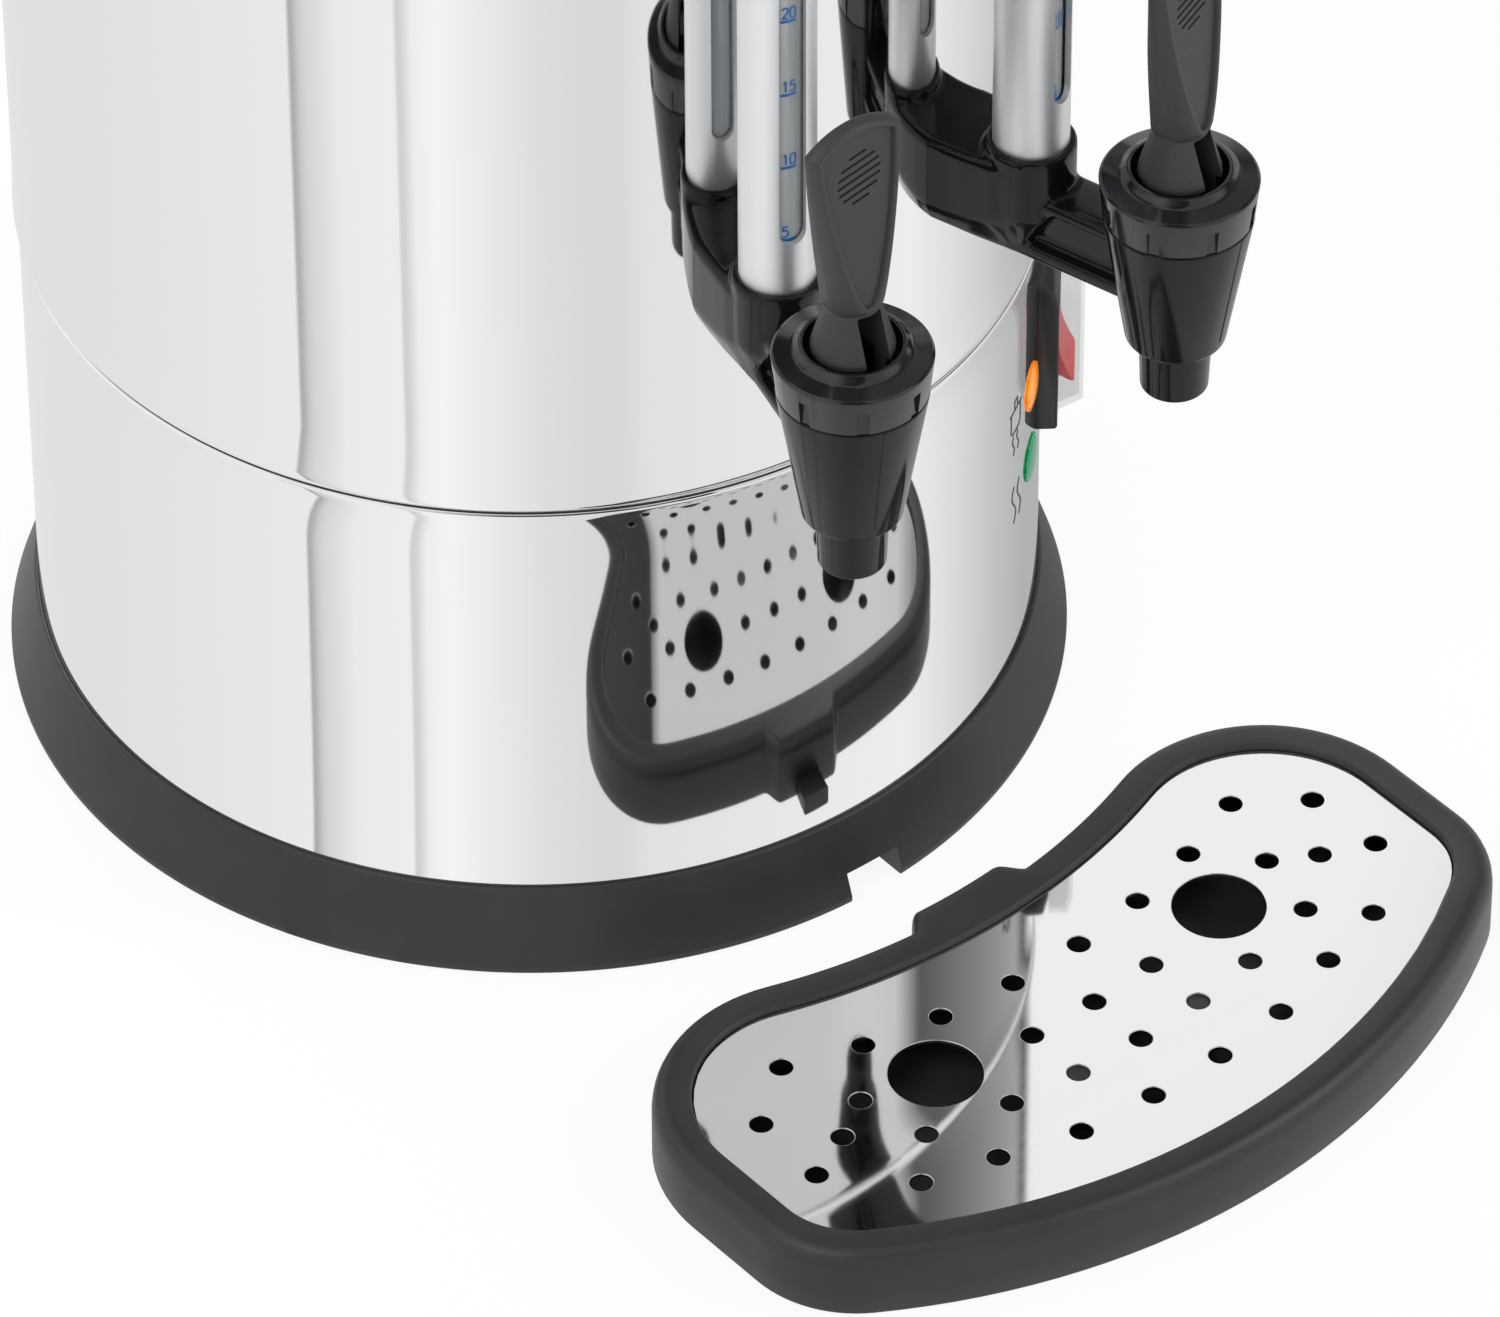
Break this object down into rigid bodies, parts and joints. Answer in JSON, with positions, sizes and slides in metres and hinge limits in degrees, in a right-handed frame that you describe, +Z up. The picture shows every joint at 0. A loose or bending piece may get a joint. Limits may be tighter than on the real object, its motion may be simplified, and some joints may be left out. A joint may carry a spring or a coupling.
{
  "type": "hot water dispenser",
  "caption": "Countertop hot water urn with lever taps, slotted sight gauges, a covered rocker switch, a lift-off lid and a loose kidney-shaped drip tray.",
  "frame": {"origin": "on the axis of the round body, at the level of the table that the base ring stands on", "axes": "+Z up, front with the taps and tray towards -Y, +X to the right seen from the front"},
  "size_m": [0.3616, 0.4216, 0.515],
  "materials": {
    "polished_steel": "mirror polished stainless steel",
    "zinc_plate": "zinc plated",
    "screw_steel": "plain",
    "heater_metal": "cast",
    "satin_aluminium": "satin anodised",
    "nut_brass": "plain",
    "base_plastic": "fine grained",
    "tap_plastic": "glossy",
    "lever_plastic": "satin grained",
    "switch_plastic": "satin",
    "clear_cover": "clear moulded",
    "gauge_glass": "clear",
    "rocker_red": "translucent red",
    "amber_lens": "translucent amber",
    "green_lens": "translucent green",
    "silicone": "food grade silicone",
    "rubber": "matt",
    "phenolic": "plain",
    "ceramic": "glazed",
    "lead_sleeve": "woven glass sleeve",
    "clip_nylon": "plain"
  },
  "bodies": {
    "body": {"base_ring": "base_plastic", "rubber_feet": "rubber", "bottom_plate": "zinc_plate", "bottom_screws": "screw_steel", "lower_skirt": "polished_steel", "outer_shell": "polished_steel", "tank": "polished_steel", "heating_element": "heater_metal", "thermostat": "phenolic", "thermal_cutout": "ceramic", "terminal_block": "ceramic", "heater_leads": "lead_sleeve", "cable_gland": "base_plastic", "gland_nut": "base_plastic", "top_rim": "base_plastic", "left_handle": "base_plastic", "right_handle": "base_plastic", "handle_screws": "screw_steel", "left_tap_body": "tap_plastic", "left_shank_washer": "rubber", "left_shank_nut": "nut_brass", "left_bonnet": "tap_plastic", "left_valve_spring": "screw_steel", "left_sight_sleeve": "satin_aluminium", "left_sight_glass": "gauge_glass", "left_sight_seal": "silicone", "left_sight_cap": "tap_plastic", "right_tap_body": "tap_plastic", "right_shank_washer": "rubber", "right_shank_nut": "nut_brass", "right_bonnet": "tap_plastic", "right_valve_spring": "screw_steel", "right_sight_sleeve": "satin_aluminium", "right_sight_glass": "gauge_glass", "right_sight_seal": "silicone", "right_sight_cap": "tap_plastic", "switch_bezel": "switch_plastic", "switch_cover": "clear_cover", "switch_body": "switch_plastic", "amber_lamp": "amber_lens", "green_lamp": "green_lens", "lamp_clips": "clip_nylon"},
    "left_stem": {"left_lever_pin": "screw_steel", "left_valve_stem": "screw_steel", "left_seat_cup": "silicone"},
    "left_lever": {"left_lever": "lever_plastic"},
    "right_stem": {"right_lever_pin": "screw_steel", "right_valve_stem": "screw_steel", "right_seat_cup": "silicone"},
    "right_lever": {"right_lever": "lever_plastic"},
    "rocker": {"rocker": "rocker_red"},
    "lid": {"lid": "polished_steel", "lid_knob": "base_plastic"},
    "drip_tray": {"drip_tray": "base_plastic"},
    "drip_grate": {"drip_grate": "polished_steel"}
  },
  "joints": [
    {"name": "left_stem_lift", "type": "slide", "parent": "body", "child": "left_stem", "axis": [0, 0, 1], "range_m": [0, 0.0041], "stiffness_N_per_m": 0.1, "springref_m": 2.76, "deforming": ["left_valve_spring"]},
    {"name": "left_lever_tilt", "type": "hinge", "parent": "left_stem", "child": "left_lever", "pos_m": [-0.05123, -0.18856, 0.238], "axis": [0.9998, -0.0209, 0], "range_deg": [0, 25], "stiffness_Nm_per_rad": 0.3, "springref_deg": -17.19},
    {"name": "right_stem_lift", "type": "slide", "parent": "body", "child": "right_stem", "axis": [0, 0, 1], "range_m": [0, 0.0041], "stiffness_N_per_m": 0.1, "springref_m": 2.76, "deforming": ["right_valve_spring"]},
    {"name": "right_lever_tilt", "type": "hinge", "parent": "right_stem", "child": "right_lever", "pos_m": [0.05123, -0.18856, 0.238], "axis": [0.965, 0.2622, 0], "range_deg": [0, 25], "stiffness_Nm_per_rad": 0.3, "springref_deg": -17.19},
    {"name": "rocker_tilt", "type": "hinge", "parent": "body", "child": "rocker", "pos_m": [0.09931, -0.08786, 0.1022], "axis": [0.6626, 0.749, 0], "range_deg": [0, 18]},
    {"name": "lid_lift", "type": "slide", "parent": "body", "child": "lid", "axis": [0, 0, 1], "range_m": [0, 0.12]},
    {"name": "tray_slide", "type": "slide", "parent": "body", "child": "drip_tray", "axis": [-0.0122, 0.9999, 0], "range_m": [0, 0.0245]},
    {"name": "grate_lift", "type": "slide", "parent": "drip_tray", "child": "drip_grate", "axis": [0, 0, 1], "range_m": [0, 0.05]}
  ],
  "couplings": [
    {"joint": "left_stem_lift", "follows": "left_lever_tilt", "m_per_rad": 0.0092},
    {"joint": "right_stem_lift", "follows": "right_lever_tilt", "m_per_rad": 0.0092}
  ]
}
